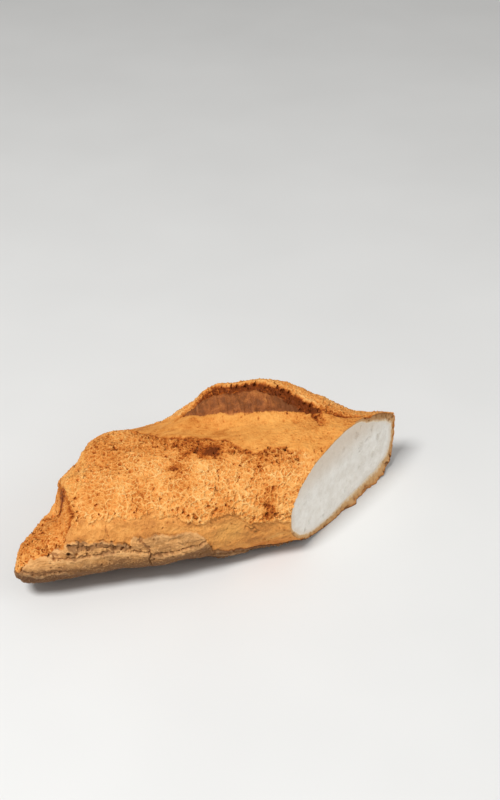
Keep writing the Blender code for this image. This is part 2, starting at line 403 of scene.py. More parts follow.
# How porous the skin is, from coarse to fine, and where strands cover it
ridge_side = scored * smooth(-11, -2, behind) * smooth(0.6, -0.2, behind)
upper_left = over * spot((-33, 3, 35.5), (21, 15, 9))
lobe_patch = spot((-65, -21, 22), (14, 17, 9)) * (1 - flour)
skin_left = 1 - np.maximum.reduce((band, inner_face * (1 - torn), flour, dent * (1 - panel)))
smooth_lobe = heel * lobe * spot((-57, -21, 27), (5, 9, 4.5))
coarse = np.clip(0.05 + 0.80 * ridge_side + 0.75 * upper_left + 0.12 * broad + 0.8 * scorch_and_shade
                 + 0.9 * torn + lobe_patch, 0, 1)
over_crease = edge * front * bell(above - 2.4, 1.2) * smooth(-24, -14, x)
coarse += 0.55 * over_crease + 0.25 * between
coarse *= np.clip(panel * skin_left + torn, 0, 1) * (1 - 0.8 * smooth_lobe)
foot = spot((-75, -27, 6), (7, 7, 7))
coarse = np.maximum.reduce((coarse, flap_start, 0.9 * gap, gashed, 0.6 * foot))
fine = np.clip(0.8 + 0.3 * small, 0, 1) * (0.12 + 0.88 * panel * skin_left) * (1 - 0.7 * smooth_lobe)
fine = np.maximum(fine, 0.9 * torn)
strands = np.clip(0.75 + 0.35 * small, 0, 1) * panel * skin_left
strands *= (1 - 0.8 * smooth_lobe) * (1 - 0.45 * np.clip(scorch_and_shade, 0, 1))
strands += 0.3 * lower_band * (1 - flour) + 0.35 * band * smooth(0, 35, x)
strands = np.maximum(strands, 0.9 * foot)

# How browned it is, with painted shade added where noted below, and where dried strands and torn edges are
# lighter than the rest
toast_and_shade = 0.49 + 0.10 * broad + 0.07 * small + lower_band * (0.19 + 0.12 * drawn)
# 0.10 * dent darkens the hollow beside the crease with painted shade
toast_and_shade += 0.05 * band * smooth(15, 45, x) + 0.10 * dent + 0.35 * gashed + 0.25 * cracked
toast_and_shade -= 0.10 * spot((4, -22, 34), (16, 14, 9)) + 0.06 * spot((20, -20, 33), (12, 14, 9))
# 0.42 * inner_face darkens the flap's inner face: partly its own browner crust, partly painted shadow
toast_and_shade += 0.15 * ridge_side + 0.17 * upper_left + 0.55 * scorch_and_shade + 0.42 * inner_face
# 0.45 * gap darkens the gap with painted shade
toast_and_shade += 0.30 * torn * smooth(4, 20, x) + 0.16 * flap_start + 0.45 * gap
# 0.24 * scored * bell(behind + 0.4, 0.8) is painted shade in the score's groove
toast_and_shade += 0.24 * scored * bell(behind + 0.4, 0.8) + 0.05 * merged * over * smooth(-14, 6, y)
# 0.35 * heel * bell(past_heel + 1, 1.3) is painted shade under the panel's edge, on the sunk lobe
toast_and_shade += 0.35 * heel * bell(past_heel + 1, 1.3) + 0.27 * lobe_patch + 0.02 * between
# The base is darker low down and at the foot: partly its own darker bake, partly painted shade on the parts
# that face down
toast_and_shade += flour * spot((-71, -27, 9), (13, 13, 9)) - 0.08 * (1 - panel)
toast_and_shade += flour * (0.4 + 0.6 * front) * (0.8 * smooth(18, 9, z) + 0.5 * smooth(11, 3, z))
toast_and_shade = np.clip(toast_and_shade, 0, 1.6)
light_edges += 0.5 * inner_face * (1 - torn) * smooth(0.5, 1.3, streak) - 0.7 * flap_start
light_edges = np.clip(light_edges + 0.7 * crease_bead + lip + 0.7 * heel_bead + bead, 0, 1)
straw_and_highlight = 0.40 * lower_band + 0.15 * between + 0.6 * bead + 0.8 * dent * (1 - panel)
# Two painted yellow highlights on the heel's corner
straw_and_highlight += 0.9 * spot((-52, -12.5, 34), (2.6, 3.5, 3)) + 0.6 * spot((-49, -3, 33.5), (2.5, 5, 4))
straw_and_highlight = np.clip(straw_and_highlight, 0, 1)


# ---- The rim of the cut ----
# The knife went through crust and crumb. The crust shows as a thin browned rim, thickest
# and most ragged underneath, and the crumb begins where it ends.

RIM_ROWS = 8
RIM = ((0, 3), (20, 3.6), (50, 3.8), (68, 2.4), (85, 0.7), (150, 0.5), (185, 0.8), (215, 2), (250, 3),
       (290, 3.4), (330, 3.5), (360, 3))
WALL = 2.4  # thickness of the crust away from the cut


def evened(ring, passes):
    """A closed ring of points or directions, each moved towards its neighbours."""
    for _ in range(passes):
        ring = (np.roll(ring, 1, axis=0) + ring + np.roll(ring, -1, axis=0)) / 3
    return ring


edge_ring = raised[-1]
plain_ring = evened(edge_ring - cut_way * ((edge_ring - net[-1]) @ cut_way)[:, None], 16)
tangent = np.roll(plain_ring, -1, axis=0) - np.roll(plain_ring, 1, axis=0)
inward = np.cross(cut_way, tangent)
inward /= np.linalg.norm(inward, axis=1, keepdims=True)
if (inward * (plain_ring.mean(axis=0) - plain_ring)).sum() < 0:
    inward = -inward
inward = evened(inward, 24)  # where the edge bends sharply its inside must not cross itself
thick = line_at(degrees[0], RIM)
thick = thick * (1 + 0.16 * ripple(plain_ring, 6, 12))
rim_share = np.arange(1, RIM_ROWS + 1)[:, None] / RIM_ROWS
inner_ring = evened(plain_ring + inward * thick[:, None], 16)  # the crumb's edge is a plain round line
rim = edge_ring + (inner_ring - edge_ring) * rim_share[..., None]
rim += cut_way * (0.10 * ripple(rim, 1.6, 13) * (1 - rim_share))[..., None]

# The crumb's cut face, in rings from the rim to its middle
FACE_RINGS, FACE_SPACING = 84, 0.36
loop = np.vstack((rim[-1], rim[-1][:1]))
share_round = np.concatenate(([0], np.cumsum(np.linalg.norm(np.diff(loop, axis=0), axis=1))))
girth = share_round[-1]
share_round /= girth
hub = rim[-1].mean(axis=0)
HOLES = ((61.9, 29.7, 1.3), (74.8, 19.4, 1.2), (64.5, 22.8, 1.5), (72, 13, 1.1), (69, 23.1, 0.9),
         (70.5, 26.7, 0.8), (37.2, 9.8, 1), (56.6, 8.2, 1), (54.8, 29.2, 0.9))  # x, z and reach
face_points, face_shares = [], []
for k in range(1, FACE_RINGS):
    size = 1 - k / FACE_RINGS
    count = max(8, round(girth * size / FACE_SPACING))
    shares = np.arange(count) / count
    ring = np.stack([np.interp(shares, share_round, loop[:, i]) for i in range(3)], axis=1)
    ring = hub + (ring - hub) * size
    uneven = 0.16 * ripple(ring, 6, 23) + 0.09 * ripple(ring, 2.4, 24)
    ring = ring - cut_way * (uneven * min(1, k / 8))[:, None]
    for hole_x, hole_z, reach in HOLES:
        away = np.hypot(ring[:, 0] - hole_x, (ring[:, 2] - hole_z) * 0.6) / reach
        sunk = 0.9 * reach * smooth(1, 0.2, away + 0.2 * ripple(ring, 1.5, 19))
        ring = ring - cut_way * sunk[:, None]
    face_points.append(ring)
    face_shares.append(shares)


# ---- One skin from the nose to the middle of the cut ----
# Everything outside is first one closed surface, so that the pores run on over the edges
# between crust, rim and crumb. It is taken apart into its pieces afterwards.

MILLIMETRE = 0.001


def zip_rows(low, high, low_at, high_at):
    """Triangles between two rows of points, each point with its share of the way along."""
    made, i, j = [], 0, 0
    while i < len(low) - 1 or j < len(high) - 1:
        if j == len(high) - 1 or (i < len(low) - 1 and low_at[i + 1] <= high_at[j + 1]):
            made.append((low[i], low[i + 1], high[j]))
            i += 1
        else:
            made.append((low[i], high[j + 1], high[j]))
            j += 1
    return [t for t in made if len(set(t)) == 3]


def closed(row):
    return np.append(row, row[0])


def net_triangles(ids, points):
    """Two triangles for each square of a net of point numbers, split the shorter way."""
    a, b, c, d = ids[:-1, :-1], ids[:-1, 1:], ids[1:, 1:], ids[1:, :-1]
    a, b, c, d = (corner.ravel() for corner in (a, b, c, d))
    first = np.linalg.norm(points[a] - points[c], axis=1) < np.linalg.norm(points[b] - points[d], axis=1)
    one = np.where(first[:, None], np.stack((a, b, c), 1), np.stack((a, b, d), 1))
    two = np.where(first[:, None], np.stack((a, c, d), 1), np.stack((b, c, d), 1))
    return np.vstack((one, two))


def mesh_of(name, points, triangles):
    """A mesh, in metres in the part's frame, from points in millimetres in the loaf's."""
    mesh = bpy.data.meshes.new(name)
    mesh.vertices.add(len(points))
    mesh.vertices.foreach_set("co", ((points - ORIGIN) * MILLIMETRE).astype(np.float32).ravel())
    mesh.loops.add(3 * len(triangles))
    mesh.loops.foreach_set("vertex_index", np.asarray(triangles, np.int32).ravel())
    mesh.polygons.add(len(triangles))
    mesh.polygons.foreach_set("loop_start", np.arange(len(triangles), dtype=np.int32) * 3)
    mesh.update(calc_edges=True)
    mesh.validate()
    return mesh


def face_outwards(mesh):
    net_of = bmesh.new()
    net_of.from_mesh(mesh)
    bmesh.ops.recalc_face_normals(net_of, faces=net_of.faces)
    net_of.to_mesh(mesh)
    net_of.free()


points = np.vstack([nose, raised.reshape(-1, 3), rim.reshape(-1, 3)] + face_points + [hub])
ALL_ROWS = ROWS + RIM_ROWS
ids = 1 + np.arange(ALL_ROWS * COLUMNS).reshape(ALL_ROWS, COLUMNS)
ids = np.hstack((ids, ids[:, :1]))
nose_fan = np.stack((np.zeros(COLUMNS, int), ids[0, 1:], ids[0, :-1]), axis=1)
skin_triangles = np.vstack((nose_fan, net_triangles(ids, points)))
start = 1 + ALL_ROWS * COLUMNS
before, before_at = ids[-1], share_round
face_triangles = []
for ring, shares in zip(face_points, face_shares):
    row = closed(np.arange(start, start + len(ring)))
    row_at = np.append(shares, 1)
    face_triangles += zip_rows(before, row, before_at, row_at)
    before, before_at = row, row_at
    start += len(ring)
face_triangles += [(before[i], before[i + 1], start) for i in range(len(before) - 1)]
face_triangles = np.array(face_triangles)


def over_all(on_skin, on_rim=0, on_face=0):
    """One value for each point: from the skin's net, the rim's rows and the crumb."""
    rim_part = np.broadcast_to(on_rim, (RIM_ROWS, COLUMNS)).ravel()
    face_part = np.broadcast_to(on_face, len(points) - ids[-1].max() - 1)
    return np.concatenate(([on_skin[0].mean()], on_skin.ravel(), rim_part, face_part))


# The rim's share of crumb runs from 0 in the crust to 1 in the crumb
on_face = np.vstack(face_points + [hub])
face_pores = 0.35 + 0.65 * smooth(45, 75, on_face[:, 0])
near_rim = [np.full(len(ring), max(0, 1 - k / 5)) for k, ring in enumerate(face_points)]
near_rim = np.concatenate(near_rim + [[0]])
face_pores *= 1 - 0.7 * near_rim  # few pores where crust and crumb meet
low_rim = smooth(1, 1.7, thick)[None, :]
# The top of the rim is made browner: partly the crust's own brown seen edge-on, partly painted shade
shaded_top_rim = hump(45, 50, degrees)
cream = np.maximum(smooth(20, 33, on_face[:, 2]), 0.7 * near_rim)
floured = np.maximum(flour, 0.4 * inner_face * (1 - torn) + 0.2 * front * lower_band)
marks = {
    "coarse_pores": over_all(coarse, 0.9 * low_rim * (1 - rim_share)),
    "fine_pores": over_all(fine, 0.8 * low_rim * (1 - rim_share)),
    "strands": over_all(strands),
    "crumb_pores": over_all(0 * x, 0.2 * rim_share ** 2, face_pores),
    "toast_and_shade": over_all(toast_and_shade, 0.62 + 0.50 * shaded_top_rim - 0.3 * rim_share, cream),
    "flour": over_all(floured),
    "smooth_band": over_all(np.clip(band + inner_face * (1 - torn), 0, 1)),
    "straw_and_highlight": over_all(straw_and_highlight, 0.3),
    "strand": over_all(light_edges),
    "crack": over_all(cracked),
    "crumb": over_all(0 * x, rim_share, 1),
}
whole = mesh_of("whole_outside", points, np.vstack((skin_triangles, face_triangles)))
face_outwards(whole)
for name, values in marks.items():
    whole.attributes.new(name, "FLOAT", "POINT").data.foreach_set("value", values.astype(np.float32))
whole.shade_smooth()
outside = bpy.data.objects.new("whole_outside", whole)
bpy.context.scene.collection.objects.link(outside)


# ---- Pores and strands ----
# Gas left pits in the skin and holes in the crumb, and the skin between them dried into
# raised strands. Two node trees make them: one sinks pits, one raises a web of strands.
# Each follows the surface, and a named attribute says how strongly, from 0 to 1.

def add(tree, kind, inputs=None, **settings):
    """A node of that kind with its settings; each input is a socket to link or a value."""
    node = tree.nodes.new(kind)
    for key, value in settings.items():
        setattr(node, key, value)
    for key, value in (inputs or {}).items():
        if isinstance(value, bpy.types.NodeSocket):
            tree.links.new(value, node.inputs[key])
        else:
            node.inputs[key].default_value = value
    return node


def math_node(tree, operation, first, second):
    """A Math node's value, of two sockets or numbers."""
    return add(tree, "ShaderNodeMath", {0: first, 1: second}, operation=operation).outputs[0]


def times(tree, first, second):
    return math_node(tree, "MULTIPLY", first, second)


def plus(tree, first, second):
    return math_node(tree, "ADD", first, second)


def minus(tree, first, second):
    return math_node(tree, "SUBTRACT", first, second)


def vector_node(tree, operation, inputs):
    return add(tree, "ShaderNodeVectorMath", inputs, operation=operation).outputs[0]


def bent(tree, place, spacing, sway, seed):
    """The place, shifted by the seed and bent by a slow noise so that cells are uneven."""
    scale = math_node(tree, "DIVIDE", 0.5, spacing)
    slow = add(tree, "ShaderNodeTexNoise", {"Vector": place, "Scale": scale, "Detail": 1.0, "W": seed},
               noise_dimensions="4D")
    centred = vector_node(tree, "SUBTRACT", {0: slow.outputs["Color"], 1: (0.5, 0.5, 0.5)})
    far = vector_node(tree, "SCALE", {0: centred, "Scale": times(tree, spacing, sway)})
    moved = vector_node(tree, "ADD", {0: place, 1: far})
    shift = vector_node(tree, "SCALE", {0: (0.031, 0.047, 0.059), "Scale": seed})
    return vector_node(tree, "ADD", {0: moved, 1: shift})


def relief_tree(name, sizes):
    """A tree whose inputs are the geometry, the mark's name, the material and the sizes."""
    tree = bpy.data.node_groups.new(name, "GeometryNodeTree")
    tree.interface.new_socket("Geometry", in_out="OUTPUT", socket_type="NodeSocketGeometry")
    kinds = {"Geometry": "Geometry", "Mark": "String", "Material": "Material"}
    for key, kind in {**kinds, **dict.fromkeys(sizes, "Float")}.items():
        tree.interface.new_socket(key, in_out="INPUT", socket_type="NodeSocket" + kind)
    given = tree.nodes.new("NodeGroupInput").outputs
    mark = add(tree, "GeometryNodeInputNamedAttribute", {"Name": given["Mark"]}, data_type="FLOAT")
    place = tree.nodes.new("GeometryNodeInputPosition").outputs[0]
    place = bent(tree, place, given["Spacing"], given["Sway"], given["Seed"])
    return tree, given, mark.outputs["Attribute"], place


def end_tree(tree, given, height, attribute, share):
    """Moves the points along their normals, keeps the share as an attribute, and ends."""
    normal = tree.nodes.new("GeometryNodeInputNormal").outputs[0]
    offset = vector_node(tree, "SCALE", {0: normal, "Scale": height})
    moved = add(tree, "GeometryNodeSetPosition", {"Geometry": given["Geometry"], "Offset": offset})
    old = add(tree, "GeometryNodeInputNamedAttribute", {"Name": attribute}, data_type="FLOAT")
    most = math_node(tree, "MAXIMUM", old.outputs["Attribute"], share)
    kept = {"Geometry": moved.outputs[0], "Value": most, "Name": attribute}
    kept = add(tree, "GeometryNodeStoreNamedAttribute", kept, data_type="FLOAT", domain="POINT")
    real = add(tree, "GeometryNodeRealizeInstances", {"Geometry": kept.outputs[0]}).outputs[0]
    painted = add(tree, "GeometryNodeSetMaterial", {"Geometry": real, "Material": given["Material"]})
    add(tree, "NodeGroupOutput", {"Geometry": painted.outputs[0]})


WEB_SIZES = ("Spacing", "Size", "Depth", "Sway", "Seed")
PIT_SIZES = WEB_SIZES + ("Share", "Shade")
pits, given, mark, place = relief_tree("pits", PIT_SIZES)
scale = math_node(pits, "DIVIDE", 1.0, given["Spacing"])
cells = add(pits, "ShaderNodeTexVoronoi", {"Vector": place, "Scale": scale}, feature="F1")
chance = add(pits, "FunctionNodeSeparateColor", {"Color": cells.outputs["Color"]})
wanted = times(pits, given["Share"], mark)
there = math_node(pits, "LESS_THAN", chance.outputs["Red"], wanted)
big = math_node(pits, "MULTIPLY_ADD", chance.outputs["Green"], 0.75)
big.node.inputs[2].default_value = 0.45
reach = times(pits, given["Size"], big)
steep = times(pits, reach, 0.25)
sunk = add(pits, "ShaderNodeMapRange",
           {"Value": cells.outputs["Distance"], "From Min": reach, "From Max": steep},
           interpolation_type="SMOOTHSTEP")
sunk = times(pits, sunk.outputs[0], there)
deep = times(pits, given["Depth"], big)
height = times(pits, times(pits, sunk, deep), -1.0)
# The share kept as the pit mark darkens the pores in colour, as strongly as Shade says: painted shade in the
# pits
end_tree(pits, given, height, "pit_shade", times(pits, sunk, given["Shade"]))

web, given, mark, place = relief_tree("strands", WEB_SIZES)
scale = math_node(web, "DIVIDE", 1.0, given["Spacing"])
edges = add(web, "ShaderNodeTexVoronoi", {"Vector": place, "Scale": scale}, feature="DISTANCE_TO_EDGE")
near = add(web, "ShaderNodeMapRange",
           {"Value": edges.outputs["Distance"], "From Min": given["Size"], "From Max": 0.0},
           interpolation_type="SMOOTHSTEP")
near = times(web, near.outputs[0], mark)
end_tree(web, given, times(web, near, given["Depth"]), "strand", near)

crust_paint = bpy.data.materials.new("baked_crust")
crumb_paint = bpy.data.materials.new("white_crumb")
RELIEFS = (  # the tree, its mark, and the sizes in the order above, spacing and depth in millimetres
    (web, "strands", crust_paint, (2.3, 0.19, 0.50, 1.6, 1.0)),
    (web, "strands", crust_paint, (1.5, 0.19, 0.32, 1.6, 6.0)),
    (pits, "coarse_pores", crust_paint, (1.75, 0.60, 1.2, 0.7, 2.0, 1.0, 1.0)),
    (pits, "fine_pores", crust_paint, (0.95, 0.66, 0.5, 0.7, 3.0, 0.8, 0.6)),
    (pits, "strands", crust_paint, (2.6, 0.25, 1.2, 0.9, 7.0, 0.65, 1.7)),
    (pits, "coarse_pores", crust_paint, (3.0, 0.26, 1.5, 0.9, 8.0, 0.9, 1.6)),
    (pits, "crumb_pores", crumb_paint, (3.2, 0.34, 0.7, 1.0, 4.0, 0.25, 0.8)),
    (pits, "crumb_pores", crumb_paint, (1.25, 0.50, 0.25, 0.8, 5.0, 0.5, 0.35)),
)
for tree, mark_name, paint, sizes in RELIEFS:
    modifier = outside.modifiers.new(mark_name, "NODES")
    modifier.node_group = tree
    values = {"Mark": mark_name, "Material": paint, **dict(zip(PIT_SIZES, sizes))}
    for item in tree.interface.items_tree:
        if item.in_out == "INPUT" and item.name != "Geometry":
            value = values[item.name]
            modifier[item.identifier] = value * MILLIMETRE if item.name in ("Spacing", "Depth") else value
baked = bpy.data.meshes.new_from_object(outside.evaluated_get(bpy.context.evaluated_depsgraph_get()))
bpy.data.objects.remove(outside)

outer_count = len(points)
flat = np.empty(3 * outer_count, np.float32)
baked.vertices.foreach_get("co", flat)
points = flat.reshape(-1, 3).astype(float) / MILLIMETRE + ORIGIN
points[:, 2] = np.maximum(points[:, 2], 0.0)
baked.vertex_normals.foreach_get("vector", flat)
normals = flat.reshape(-1, 3).astype(float)
for name in list(marks) + ["pit_shade"]:
    values = np.empty(outer_count, np.float32)
    baked.attributes[name].data.foreach_get("value", values)
    marks[name] = values.astype(float)
bpy.data.meshes.remove(baked)


# ---- The pieces: three shells of crust and the crumb ----
# The crust is a closed shell about two millimetres thick, in three pieces that meet
# without a gap: the front panel, the top and back, and the base. The crumb fills it and
# ends in the cut face.

INNER_ROWS = np.arange(ROWS - 6, 14, -9)  # the skin's rows that the inside follows
CORE_STEP = 6  # the crumb's hidden side takes every sixth column of every second of them
BEHIND_CUT, ABOVE_BASE = 1.2, 0.6  # how far the inside stays from the cut and from the table


def inner_net(deep):
    """The skin's rows again, that deep inside and always behind the cut."""
    inside_row = raised[INNER_ROWS] - out[INNER_ROWS] * deep
    too_far = (inside_row - net[-1, 0]) @ cut_way + BEHIND_CUT
    inside_row = inside_row - np.maximum(too_far, 0.0)[..., None] * cut_way
    inside_row[..., 2] = np.maximum(inside_row[..., 2], ABOVE_BASE)
    return inside_row


wall_net, core_net = inner_net(WALL), inner_net(WALL + 0.5)
nose_in = nose + (WALL, 0.0, 0.0)

wall_start = len(points)
points = np.vstack((points, wall_net.reshape(-1, 3), nose_in))
wall_ids = wall_start + np.arange(wall_net.shape[0] * COLUMNS).reshape(-1, COLUMNS)
wall_ids = np.hstack((wall_ids, wall_ids[:, :1]))
nose_in_id = len(points) - 1
core_net = core_net[::2, ::CORE_STEP]
core_start = len(points)
points = np.vstack((points, core_net.reshape(-1, 3), nose_in + (1.0, 0.0, 0.0)))
core_ids = core_start + np.arange(core_net.shape[0] * core_net.shape[1]).reshape(core_net.shape[:2])
core_ids = np.hstack((core_ids, core_ids[:, :1]))
hidden = len(points) - outer_count
normals = np.vstack((normals, np.zeros((hidden, 3))))
for name in marks:
    marks[name] = np.concatenate((marks[name], np.full(hidden, 1.0 if name == "crumb" else 0.0)))


def piece_of(name, triangles, outer_triangles, sharp_groups, seams, paint):
    """A closed piece from numbered points: its normals agree with its neighbours' at the
    seams, and its edges along each sharp group of points are sharp."""
    used, local = np.unique(np.vstack(triangles), return_inverse=True)
    local = local.reshape(-1, 3)
    mesh = mesh_of(name, points[used], local)
    for mark_name, values in marks.items():
        mark_data = mesh.attributes.new(mark_name, "FLOAT", "POINT").data
        mark_data.foreach_set("value", values[used].astype(np.float32))
    face_outwards(mesh)
    mesh.shade_smooth()
    ends = np.empty(2 * len(mesh.edges), np.int32)
    mesh.edges.foreach_get("vertices", ends)
    ends = used[ends.reshape(-1, 2)]
    sharp = np.zeros(len(ends), bool)
    for group in sharp_groups:
        sharp |= np.isin(ends[:, 0], group) & np.isin(ends[:, 1], group)
    mesh.attributes.new("sharp_edge", "BOOLEAN", "EDGE").data.foreach_set("value", sharp)
    corner = np.empty(len(mesh.loops), np.int32)
    mesh.loops.foreach_get("vertex_index", corner)
    corner = used[corner]
    chosen = np.isin(corner, seams) & (np.arange(len(corner)) < 3 * outer_triangles)
    custom = np.where(chosen[:, None], normals[corner], 0.0)
    mesh.normals_split_custom_set(custom.tolist())
    mesh.materials.append(paint)
    piece = bpy.data.objects.new(name, mesh)
    bpy.context.scene.collection.objects.link(piece)
    return piece


def side_wall(column):
    """The wall of a shell along one column, between its outside and its inside."""
    outer = np.concatenate(([0], ids[:, column]))
    inner = np.concatenate(([nose_in_id], wall_ids[::-1, column], [ids[-1, column]]))
    return zip_rows(outer, inner, shares_of(outer), shares_of(inner))


def shares_of(row):
    """How far along the row each of its points is, from 0 to 1."""
    gone = np.concatenate(([0.0], np.cumsum(np.linalg.norm(np.diff(points[row], axis=0), axis=1))))
    return gone / gone[-1]


to_front, to_base, to_top = (int(np.argmin(np.abs(degrees[0] - d))) for d in (93.0, 196.0, 345.0))
SHELLS = (("crust_front", to_front, to_base), ("crust_base", to_base, to_top),
          ("crust_top", to_top, to_front + COLUMNS))
for name, first, last in SHELLS:
    across = np.arange(first, last + 1) % COLUMNS
    outer = ids[:, across]
    skin_part = net_triangles(outer[:ROWS], points)
    fan = np.stack((np.zeros(len(across) - 1, int), outer[0, 1:], outer[0, :-1]), axis=1)
    rim_part = net_triangles(outer[ROWS - 1:], points)
    inner = np.vstack((ids[-1:, across], wall_ids[:, across]))
    inner_part = net_triangles(inner, points)
    inner_fan = np.stack((np.full(len(across) - 1, nose_in_id), inner[-1, 1:], inner[-1, :-1]), axis=1)
    walls = np.array(side_wall(across[0]) + side_wall(across[-1]))
    seams = np.concatenate(([0], ids[:ROWS - 1, across[0]], ids[:ROWS - 1, across[-1]]))
    groups = [outer[ROWS - 1], outer[-1], np.concatenate(([0], ids[:, across[0]], wall_ids[:, across[0]])),
              np.concatenate(([0], ids[:, across[-1]], wall_ids[:, across[-1]]))]
    triangles = [skin_part, fan, rim_part, inner_part, inner_fan, walls]
    shell = piece_of(name, triangles, len(skin_part) + len(fan), groups, seams, crust_paint)
    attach(shell, "root")
    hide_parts("baguette_half")

# The crumb: its cut face, and a plain coarse side inside the crust
core_at = np.append(np.arange(core_net.shape[1]) / core_net.shape[1], 1.0)
rim_at = np.arange(COLUMNS + 1) / COLUMNS
core_sides = np.array(zip_rows(ids[-1], core_ids[0], rim_at, core_at))
core_part = net_triangles(core_ids, points)
core_end = np.full(core_net.shape[1], len(points) - 1)
core_fan = np.stack((core_end, core_ids[-1, 1:], core_ids[-1, :-1]), axis=1)
crumb = piece_of("crumb", [face_triangles, core_sides, core_part, core_fan], len(face_triangles),
                 [ids[-1]], np.array([-1]), crumb_paint)
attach(crumb, "root")
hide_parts("baguette_half")


# ---- The look of the crust ----
# Dried and browned dough: golden where it is thin, brown in pits and along the scores (partly
# painted shade), yellower where it tore open late, and dusty cream where flour stuck to the base.

def mark_value(tree, name):
    return add(tree, "ShaderNodeAttribute", attribute_name=name).outputs["Fac"]


def noise(tree, place, length, detail=3.0, rough=0.55):
    """Noise of about that length in millimetres, from 0 to 1."""
    node = add(tree, "ShaderNodeTexNoise", {"Vector": place, "Scale": 1.0 / (length * MILLIMETRE),
                                            "Detail": detail, "Roughness": rough})
    return node.outputs["Fac"]


def spread(tree, value, low, high, to_low=0.0, to_high=1.0):
    node = add(tree, "ShaderNodeMapRange", {"Value": value, "From Min": low, "From Max": high,
                                            "To Min": to_low, "To Max": to_high})
    return node.outputs[0]


def blend_colour(tree, share, first, second):
    """A colour between two, each a socket or a linear colour."""
    ends = [source + (1.0,) if isinstance(source, tuple) else source for source in (first, second)]
    node = add(tree, "ShaderNodeMix", {"Factor": share, 6: ends[0], 7: ends[1]}, data_type="RGBA")
    return node.outputs[2]


def curls(tree, place, spacing, sway, seed, wide):
    """The strands of the relief again, as crisp light lines, from 0 to 1."""
    where = bent(tree, place, spacing * MILLIMETRE, sway, seed)
    cells = add(tree, "ShaderNodeTexVoronoi", {"Vector": where, "Scale": 1.0 / (spacing * MILLIMETRE)},
                feature="DISTANCE_TO_EDGE")
    return spread(tree, cells.outputs["Distance"], wide, 0.3 * wide)


def fresh(paint):
    """The material's node tree, its shader, and the place of each point."""
    paint.use_nodes = True
    tree = paint.node_tree
    shader = tree.nodes["Principled BSDF"]
    place = tree.nodes.new("ShaderNodeTexCoord").outputs["Object"]
    return tree, shader, place


tree, shader, place = fresh(crust_paint)
uneven = minus(tree, noise(tree, place, 2.2, 4.0, 0.6), 0.5)
speckle = minus(tree, noise(tree, place, 0.55, 2.0, 0.6), 0.5)
pit_shade_mark, strand_mark = mark_value(tree, "pit_shade"), mark_value(tree, "strand")
thin = times(tree, curls(tree, place, 1.5, 1.6, 6.0, 0.14), 0.75)
curly = math_node(tree, "MAXIMUM", curls(tree, place, 2.3, 1.6, 1.0, 0.14), thin)
curly = times(tree, curly, spread(tree, noise(tree, place, 1.6, 2.0), 0.38, 0.52, 0.45, 1.0))
curly = times(tree, curly, mark_value(tree, "strands"))
strand_mark = math_node(tree, "MAXIMUM", times(tree, strand_mark, 0.6), curly)
long_way = vector_node(tree, "MULTIPLY", {0: place, 1: (0.3, 0.8, 1.2)})
streaks = minus(tree, noise(tree, long_way, 1.8, 4.0, 0.6), 0.5)
drawn_out = spread(tree, mark_value(tree, "strands"), 0.0, 0.5, 0.6, 0.25)
drawn_out = times(tree, drawn_out, spread(tree, mark_value(tree, "smooth_band"), 0.0, 1.0, 1.0, 0.45))
# This value carries the browning, and also the painted shade of the toast and pit marks
browned_and_shaded = mark_value(tree, "toast_and_shade")
# The pit mark darkens the crust's pores: partly browner crust, partly painted shade
for layer, share in ((uneven, 0.45), (streaks, drawn_out), (speckle, 0.28), (pit_shade_mark, 0.55),
                     (strand_mark, -0.50)):
    browned_and_shaded = plus(tree, browned_and_shaded, times(tree, layer, share))
ramp = add(tree, "ShaderNodeValToRGB", {"Fac": browned_and_shaded})
BROWNING = ((0.0, (0.90, 0.52, 0.19)), (0.2, (0.82, 0.395, 0.110)), (0.4, (0.72, 0.285, 0.062)),
            (0.6, (0.53, 0.160, 0.023)), (0.8, (0.33, 0.070, 0.007)), (1.0, (0.16, 0.033, 0.004)))
while len(ramp.color_ramp.elements) < len(BROWNING):
    ramp.color_ramp.elements.new(0.5)
for element, (at, colour) in zip(ramp.color_ramp.elements, BROWNING):
    element.position = at
    element.color = colour + (1.0,)
colour = ramp.outputs["Color"]
# The straw mark: a real yellow tone, and at two spots on the heel a painted highlight
straw_and_highlight_share = times(tree, mark_value(tree, "straw_and_highlight"), spread(tree, strand_mark, 0.0, 1.0, 0.75, 0.15))
colour = blend_colour(tree, straw_and_highlight_share, colour, (0.80, 0.41, 0.10))
band_tone = spread(tree, noise(tree, place, 5.0, 3.0), 0.3, 0.7)
band_colour = blend_colour(tree, band_tone, (0.77, 0.33, 0.066), (0.84, 0.40, 0.095))
band_share = times(tree, mark_value(tree, "smooth_band"), spread(tree, browned_and_shaded, 0.3, 0.75, 0.75, 0.0))
colour = blend_colour(tree, band_share, colour, band_colour)
dust = spread(tree, noise(tree, place, 3.0, 5.0, 0.65), 0.35, 0.68)
pale = blend_colour(tree, dust, (0.53, 0.25, 0.080), (0.82, 0.445, 0.170))
for share, tint in ((spread(tree, browned_and_shaded, 0.45, 0.95), (0.23, 0.110, 0.042)),
                    (spread(tree, browned_and_shaded, 0.95, 1.5), (0.15, 0.070, 0.028)),
                    (times(tree, strand_mark, 0.6), (0.80, 0.50, 0.24)),
                    (times(tree, mark_value(tree, "crack"), 0.8), (0.36, 0.17, 0.065))):
    pale = blend_colour(tree, share, pale, tint)
flour_share = times(tree, mark_value(tree, "flour"), 0.88)
colour = blend_colour(tree, flour_share, colour, pale)
fray = times(tree, minus(tree, noise(tree, place, 1.3, 3.0, 0.6), 0.5), 0.9)
crumb_mark = times(tree, mark_value(tree, "crumb"), plus(tree, fray, 1.0))
tan_share = times(tree, spread(tree, crumb_mark, 0.0, 0.3), spread(tree, browned_and_shaded, 0.3, 1.0, 0.95, 0.4))
colour = blend_colour(tree, tan_share, colour, (0.66, 0.41, 0.19))
colour = blend_colour(tree, spread(tree, crumb_mark, 0.65, 1.0), colour, (0.84, 0.71, 0.52))
